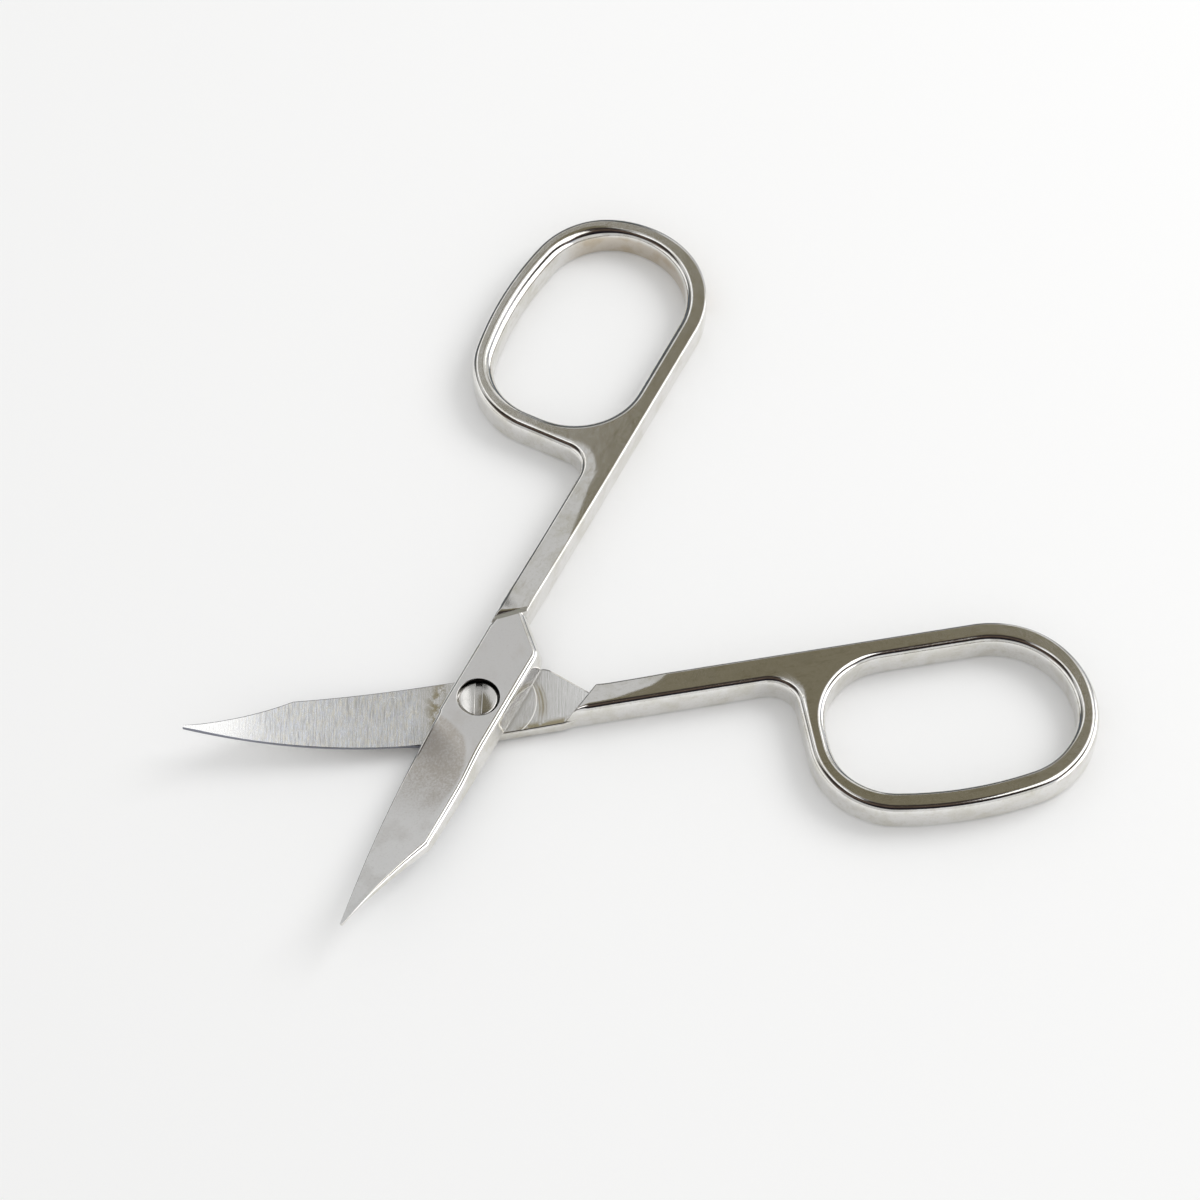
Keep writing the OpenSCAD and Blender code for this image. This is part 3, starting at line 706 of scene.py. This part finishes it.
def makeBlade(name, half, f, materials):
    # two long curves joined by rows: inner face (slot 0), sloped wall with a rounded corner (slot 2), outer
    # face (slot 1), and the same wall at the edge. Near the pivot the rows give way to rings about the hole
    d = bladeDims
    up = f["out"]
    spine, edge, first, last = bladePlan(f)
    toEdge, toSpine = sideways(spine, -1.0), sideways(edge, 1.0)
    width = np.linalg.norm(spine - edge, axis=1)
    room = np.clip(width / 2.6, 0.0, 1.0)

    tipZ = f["face"] + innerRise(d["reach"]) + up * f["tipT"]
    bellyZ = f["face"] + innerRise(f["belly"]) + up * f["bellyT"]
    plateEnd = np.array([d["edgeW"], f["outer"]])
    c = circleThrough(plateEnd, np.array([f["belly"], bellyZ]), np.array([d["reach"], tipZ]))
    r = np.linalg.norm(plateEnd - c)
    tilt = math.radians(f["grind"]) * up

    def innerZ(p):
        return f["face"] + innerRise(np.linalg.norm(p, axis=-1))

    def outerZ(p):
        # the flat plate runs out smoothly into the ground face, part of a cylinder tilted about the spine
        away = np.clip(-p[..., 0], d["edgeW"], d["reach"] + 1)
        low = c[1] - np.sqrt(r * r - (away - c[0]) ** 2) - f["outer"]
        ground = (p[..., 1] - d["spineW"]) * math.tan(tilt) + low / math.cos(tilt)
        start = d["runFrom"] + d["runLean"] * (p[..., 1] + d["edgeW"])
        share = smoothStep((-p[..., 0] - start) / d["runLength"])
        z = f["outer"] + share * ground
        inner = innerZ(p)
        return inner + up * np.maximum(up * (z - inner), 0.05)

    slope = math.tan(math.radians(f["draft"]))
    theta = np.radians(np.linspace(f["draft"], 90, 9))
    rise = np.linspace(0, 1, 5)
    breakAngle = np.radians(np.linspace(90, 0, 4))

    def wall(curve, inward, rounding):
        # rows from the inner face round its broken edge, up the wall and round the outer corner; returns them
        # with the boundaries of the inner and of the outer face
        onBlade, onPlate = d["brokenEdge"]
        broken = np.minimum(onBlade + (onPlate - onBlade) * smoothStep((curve[:, 0] + 3) / 3), 0.3 * room)
        base = innerZ(curve)
        thick = np.abs(outerZ(curve + inward * 0.3 * room[:, None]) - base)
        radius = np.minimum(rounding, 0.45 * thick) * room
        lean = slope * room
        for _ in range(2):
            inset = lean * (thick - radius) + radius * math.cos(theta[0])
            boundary = curve + inward * inset[:, None]
            thick = np.abs(outerZ(boundary) - base)
        stop = thick - radius + radius * math.sin(theta[0])
        broken = np.minimum(broken, 0.3 * stop)
        off0 = broken[:, None] * (1 - np.cos(breakAngle))[None, :]
        up0 = broken[:, None] * (1 - np.sin(breakAngle))[None, :]
        up1 = broken[:, None] + rise[None, 1:] * (stop - broken)[:, None]
        off1 = (inset - radius * math.cos(theta[0]))[:, None] * rise[None, 1:]
        off2 = inset[:, None] - radius[:, None] * np.cos(theta[1:])[None, :]
        up2 = (thick - radius)[:, None] + radius[:, None] * np.sin(theta[1:])[None, :]
        off, tall = np.concatenate([off0, off1, off2], 1), np.concatenate([up0, up1, up2], 1)
        plan = curve[:, None, :] + inward[:, None, :] * off[..., None]
        z = base[:, None] + up * tall
        return np.concatenate([plan, z[..., None]], -1), curve + inward * off[:, :1], boundary

    skin = Skin()
    spineWall, spineFoot, spineTop = wall(spine, toEdge, f["round"][0])
    edgeWall, edgeFoot, edgeTop = wall(edge, toSpine, f["round"][1])
    skin.grid(place(spineWall, half), 2)
    skin.grid(place(edgeWall, half), 2)
    w = np.linspace(0, 1, d["faceSteps"])
    w = (w + 0.5 * (1 - np.cos(w * math.pi))) / 2

    def face(a, b, zOf, slot, holeRadius, holeDepth):
        # rows from curve a to curve b at a height given by zOf, with rings about the hole between two
        # stations
        rows = a[:, None, :] * (1 - w[None, :, None]) + b[:, None, :] * w[None, :, None]
        full = np.concatenate([rows, zOf(rows)[..., None]], -1)
        skin.grid(place(full[: first + 1], half), slot)
        skin.grid(place(full[last:], half), slot)
        block = full[first: last + 1]
        loop = np.concatenate(
            [block[0, :-1], block[:-1, -1], block[-1, :0:-1], block[:0:-1, 0], block[:1, 0]])
        angle = np.unwrap(np.arctan2(loop[:, 1], loop[:, 0]))
        even = np.linspace(angle[0], angle[0] + math.copysign(2 * math.pi, angle[-1] - angle[0]), len(loop))
        ray = np.stack([np.cos(even), np.sin(even)], -1)
        circle = np.concatenate([ray * (holeRadius + d["lip"]), np.full((len(loop), 1), holeDepth)], -1)
        t = np.linspace(0, 1, 9)[:, None, None]
        t = smoothStep(t) * 0.4 + t * 0.6
        skin.grid(place(circle[None] * (1 - t) + loop[None] * t, half), slot)
        return ray

    innerRay = face(spineFoot, edgeFoot, innerZ, 0, f["innerHole"], f["face"])
    outerRay = face(spineTop, edgeTop, outerZ, 1, f["outerHole"], f["outer"])
    lip = d["lip"]
    levels = [
        (f["outerHole"] + lip, f["outer"]), (f["outerHole"] + lip * 0.3, f["outer"] - up * lip * 0.3),
        (f["outerHole"], f["outer"] - up * lip), (f["outerHole"], f["floor"]), (f["innerHole"], f["floor"]),
        (f["innerHole"], f["face"] + up * lip), (f["innerHole"] + lip, f["face"])]
    # the wall's rays turn from the outer ring's to the inner ring's, which start at slightly different angles
    aOut, aIn = np.arctan2(outerRay[0, 1], outerRay[0, 0]), np.arctan2(innerRay[0, 1], innerRay[0, 0])
    turnSign = math.copysign(1.0, np.cross(outerRay[0], outerRay[1]))
    rings = []
    for i, (radius, z) in enumerate(levels):
        a = aOut + (aIn - aOut) * max(0.0, i - 3) / 3 + turnSign * np.linspace(0, 2 * math.pi, len(outerRay))
        rings.append(np.stack([radius * np.cos(a), radius * np.sin(a), np.full_like(a, z)], -1))
    skin.grid(place(np.stack(rings), half), 2)

    # ends: the blunt tip and the end under the shoulder
    for i in (0, -1):
        innerRow = spineFoot[i][None] * (1 - w[:, None]) + edgeFoot[i][None] * w[:, None]
        innerRow = np.concatenate([innerRow, innerZ(innerRow)[:, None]], -1)
        outerRow = spineTop[i][None] * (1 - w[:, None]) + edgeTop[i][None] * w[:, None]
        outerRow = np.concatenate([outerRow, outerZ(outerRow)[:, None]], -1)
        cap = np.concatenate([innerRow, edgeWall[i][1:], outerRow[::-1][1:], spineWall[i][::-1][1:]])
        skin.fan(place(cap, half), 2)
    piece = skin.build(name, materials, sharp=28.0)
    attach(piece, "lower" if half is halves["lower"] else "upper")
    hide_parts(half["node"])


screwDims = {
    "radius": 2.09, "rim": 3.70, "dome": 0.20, "under": 3.17, "rimFrom": 0.93, "rimFall": 0.10,
    "slotWidth": 0.66, "slotDepth": 0.30, "slotTurn": 51.5, "bevel": 0.07,
    "shank": 1.5, "stemTop": 3.3, "tailFlat": 1.25, "tail": 1.74, "tailRise": 0.23, "tailTop": 0.25,
}


def makeScrew(name, material):
    # head: columns across a disc, domed by the square of the radius, with a fall at the rim, a bevel along
    # the slot and a floor within it that follows the dome. Below the head one turned profile: shank and
    # peened tail
    d = screwDims
    s, bevel = d["slotWidth"] / 2, d["bevel"]
    outer = d["radius"] * np.sin(np.linspace(-math.pi / 2, 0, 30))
    outer = outer[outer < -(s + bevel + 0.02)]
    side = np.concatenate([outer, [-(s + bevel), -(s + bevel * 0.3), -s, -s, -s + 0.05, -s * 0.5]])
    low = np.concatenate([np.zeros(len(outer)), [0, bevel * 0.35, bevel, 0, 0, 0]])
    onFloor = np.arange(len(side)) >= len(outer) + 3
    a = np.concatenate([side, [0.0], -side[::-1]])
    low = np.concatenate([low, [0.0], low[::-1]])[:, None]
    onFloor = np.concatenate([onFloor, [True], onFloor[::-1]])[:, None]
    t = np.sin(np.linspace(-math.pi / 2, math.pi / 2, 33))
    b = np.sqrt(np.clip(d["radius"] ** 2 - a * a, 0, None))[:, None] * t
    rr = np.sqrt(a[:, None] ** 2 + b * b) / d["radius"]
    dome = d["rim"] + d["dome"] * (1 - rr * rr)
    rimFall = d["rimFall"] * np.clip((rr - d["rimFrom"]) / (1 - d["rimFrom"]), 0, 1) ** 2
    z = np.where(onFloor, dome - d["slotDepth"], dome - rimFall - low)
    turn = math.radians(d["slotTurn"])
    c, si = math.cos(turn), math.sin(turn)
    cross = np.broadcast_to(a[:, None], b.shape)
    top = np.stack([c * b - si * cross, si * b + c * cross, z], -1)
    under = top.copy()
    under[..., 2] = d["under"]
    head = Skin()
    head.grid(top)
    head.grid(under)
    share = np.linspace(0, 1, 5)[:, None, None]
    for j in (0, -1):
        head.grid(top[None, :, j] * (1 - share) + under[None, :, j] * share)
    q = np.linspace(0, 1, 6)[1:]
    bulge, tailOut = q * math.pi / 2, d["tail"] - d["tailFlat"]
    profile = np.concatenate([
        [[0, 0]], np.stack([d["tailFlat"] * q, np.zeros_like(q)], -1),
        np.stack([d["tailFlat"] + tailOut * np.sin(bulge), d["tailRise"] * (1 - np.cos(bulge))], -1),
        [[d["tail"], d["tailTop"]], [d["shank"], d["tailTop"]],
         [d["shank"], d["stemTop"]], [0, d["stemTop"]]]])
    around = np.linspace(0, 2 * math.pi, 73)
    stem = Skin()
    stem.grid(np.stack([profile[:, :1] * np.cos(around), profile[:, :1] * np.sin(around),
                        np.broadcast_to(profile[:, 1:], (len(profile), len(around)))], -1))
    for skin, pieceName in ((head, name), (stem, name + "Stem")):
        piece = skin.build(pieceName, [material], sharp=35.0)
        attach(piece, "lower")
        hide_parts("pivot_screw")


for key, half in halves.items():
    plated = makePlated(key + "Plated", half)
    satin = makeSatin(key + "Satin", half)
    ground = makeGround(key + "Ground", half)
    makeHandle(key + "Handle", half, handleLevels[key], [plated, satin])
    makeBlade(key + "Blade", half, bladeForms[key], [ground, satin, plated])
makeScrew("pivotScrew", makeScrewSteel("screwSteel"))


def heading(angle):
    # unit vector along the table at an angle in degrees
    return math.cos(math.radians(angle)), math.sin(math.radians(angle)), 0.0


viewAway, viewRight = heading(53.0), heading(-37.0)
cameraLook = {"lens": 132.92, "target": (17.65, 2.15, 3.65), "distance": 473.1, "elevation": 57.641}
floorLook = {"colour": (0.96, 0.96, 0.955), "size": 3.0, "drop": 2e-5, "rough": 0.9, "specular": 0.1}
lightLook = {"skyStrength": 0.775, "keyPower": 1.20, "keySize": 0.40, "keyPlace": (0.42, 0.22, 0.42)}
skyLook = {
    "backdrop": (0.93, 0.93, 0.925), "walls": ((0.62, 0.62, 0.62), (0.55, 0.55, 0.54)),
    "patchNoise": (3.0, 2.0, 0.5), "rippleNoise": (9.0, 3.0, 0.6),
    # zones, each over those before it: a colour, then areas, of which the largest counts. An area is a
    # product of smooth steps, each between two values of a measure in makeWorld
    "zones": [
        # paler wall on the right
        ((0.78, 0.78, 0.78), [("right", 0.08, 0.13)]),
        # grey wall behind
        ((0.13, 0.13, 0.125),
         [("away", 0.20, 0.40), ("lowered", 0.68, 0.62), ("right", 0.125, 0.10), ("right", -0.85, -0.75)],
         [("away", 0.20, 0.40), ("up", 0.64, 0.56), ("right", 0.50, 0.42), ("right", 0.0, 0.05)]),
        # grey blue, low behind and low on the right
        ((0.10, 0.13, 0.17), [("away", 0.35, 0.75), ("up", 0.36, 0.22)]),
        ((0.20, 0.23, 0.32), [("offBlueRight", 0.14, 0.0), ("offBlueUp", 0.20, 0.0)]),
        # olive brown ceiling that the flats show
        ((0.20, 0.18, 0.125),
         [("leaning", -0.028, -0.020), ("tilted", 0.135, 0.115), ("up", 0.775, 0.795), ("away", -0.1, 0.1)]),
        # dark side of the camera, with a brown ripple and the darkest part beyond it
        ((0.045, 0.036, 0.032),
         [("away", 0.28, 0.14), ("right", 0.92, 0.75), ("right", -0.95, -0.7), ("up", 0.50, 0.60)]),
        ((0.15, 0.105, 0.08), [("offGlow", 0.15, 0.0), ("ripple", 0.36, 0.52)]),
        ((0.008, 0.006, 0.010), [("away", -0.50, -0.62), ("up", 0.50, 0.60), ("right", 0.80, 0.70)]),
        # bright box overhead on the right, pale strip that the lower tip shows, box on the left
        ((1.9, 1.9, 1.9),
         [("bent", 0.225, 0.26), ("right", 0.62, 0.55), ("away", -0.34, -0.24), ("up", 0.66, 0.72)]),
        ((0.95, 0.95, 0.93), [("away", 0.68, 0.78), ("right", 0.125, 0.145), ("right", 0.40, 0.30),
                              ("up", 0.36, 0.42), ("up", 0.70, 0.66)]),
        ((1.3, 1.3, 1.3),
         [("right", -0.15, -0.19), ("right", -0.33, -0.29), ("away", -0.10, 0.0), ("up", 0.66, 0.72)]),
        # windows low on the right and on the left
        ((2.3, 2.3, 2.35), [("right", 0.74, 0.82), ("up", 0.62, 0.50), ("up", 0.0, 0.05)]),
        ((1.1, 1.1, 1.1), [("right", -0.78, -0.88), ("up", 0.5, 0.4), ("up", 0.05, 0.12)]),
    ],
}


def makeFloor():
    s, z = floorLook["size"] / 2, -floorLook["drop"]
    mesh = bpy.data.meshes.new("floor")
    mesh.from_pydata([(-s, -s, z), (s, -s, z), (s, s, z), (-s, s, z)], [], [(0, 1, 2, 3)])
    floor = bpy.data.objects.new("floor", mesh)
    bpy.context.scene.collection.objects.link(floor)
    material = bpy.data.materials.new("paper")
    material.use_nodes = True
    shader = material.node_tree.nodes["Principled BSDF"]
    shader.inputs["Base Color"].default_value = (*floorLook["colour"], 1)
    shader.inputs["Roughness"].default_value = floorLook["rough"]
    shader.inputs["Specular IOR Level"].default_value = floorLook["specular"]
    mesh.materials.append(material)


def makeWorld():
    # what the metal reflects, by direction: the zones of skyLook. The floor is lit by one plain level, and
    # the camera sees a plain backdrop
    world = bpy.data.worlds.new("studio")
    world.use_nodes = True
    bpy.context.scene.world = world
    tree = world.node_tree
    background = next(n for n in tree.nodes if n.type == "BACKGROUND")
    way = Wire(tree, tree.nodes.new("ShaderNodeTexCoord").outputs["Generated"])
    right, away, up = way.dot(viewRight), way.dot(viewAway), way.dot((0.0, 0.0, 1.0))
    ripple = way.noise(*skyLook["rippleNoise"])
    overhead = up - 0.83
    measures = {
        "right": right, "away": away, "up": up, "ripple": ripple,
        "lowered": up - right.step(0.01, 0.04) * 0.08,
        "leaning": right + overhead * 0.15,
        "tilted": right - overhead * 1.2,
        "bent": right - away.maths("MAXIMUM", away - 0.30, 0.0) * 0.35,
        "offBlueRight": right.gap(0.70), "offBlueUp": up.gap(0.55),
        "offGlow": (away + (ripple - 0.5) * 0.3).gap(-0.30),
    }
    sky = way.noise(*skyLook["patchNoise"]).step(0.3, 0.7).mix(*skyLook["walls"])
    for colour, *areas in skyLook["zones"]:
        shares = [math.prod(measures[name].step(low, high) for name, low, high in area) for area in areas]
        zone = shares[0]
        for share in shares[1:]:
            zone = zone.maths("MAXIMUM", zone, share)
        sky = zone.mix(sky, colour)
    rays = tree.nodes.new("ShaderNodeLightPath").outputs
    level = lightLook["skyStrength"]
    colour = Wire(tree, rays["Is Glossy Ray"]).mix((level, level, level), sky)
    colour = Wire(tree, rays["Is Camera Ray"]).mix(colour, skyLook["backdrop"])
    tree.links.new(colour.socket, background.inputs["Color"])


def makeLamp(name, spot, target, size, power):
    data = bpy.data.lights.new(name, "AREA")
    data.shape = "DISK"
    data.size = size
    data.energy = power
    lamp = bpy.data.objects.new(name, data)
    lamp.location = spot
    lamp.rotation_euler = (Vector(target) - Vector(spot)).to_track_quat("-Z", "Y").to_euler()
    bpy.context.scene.collection.objects.link(lamp)
    lamp.visible_glossy = False


def makeCamera():
    camera = bpy.data.cameras.new("camera")
    camera.sensor_width = 36.0
    camera.lens = cameraLook["lens"]
    camera.clip_start = 0.01
    eye = bpy.data.objects.new("camera", camera)
    elevation = math.radians(cameraLook["elevation"])
    back = -Vector(viewAway) * math.cos(elevation) + Vector((0.0, 0.0, math.sin(elevation)))
    eye.location = Vector(cameraLook["target"]) * mm + back * cameraLook["distance"] * mm
    eye.rotation_euler = (-back).to_track_quat("-Z", "Y").to_euler()
    bpy.context.scene.collection.objects.link(eye)
    bpy.context.scene.camera = eye


makeFloor()
makeWorld()
toRight, toAway, high = lightLook["keyPlace"]
keyPlace = Vector(viewRight) * toRight + Vector(viewAway) * toAway + Vector((0.0, 0.0, high))
makeLamp("key", keyPlace, (0.0, 0.0, 0.0), lightLook["keySize"], lightLook["keyPower"])
makeCamera()
bpy.context.scene.view_settings.view_transform = "Standard"
print("light and camera set")
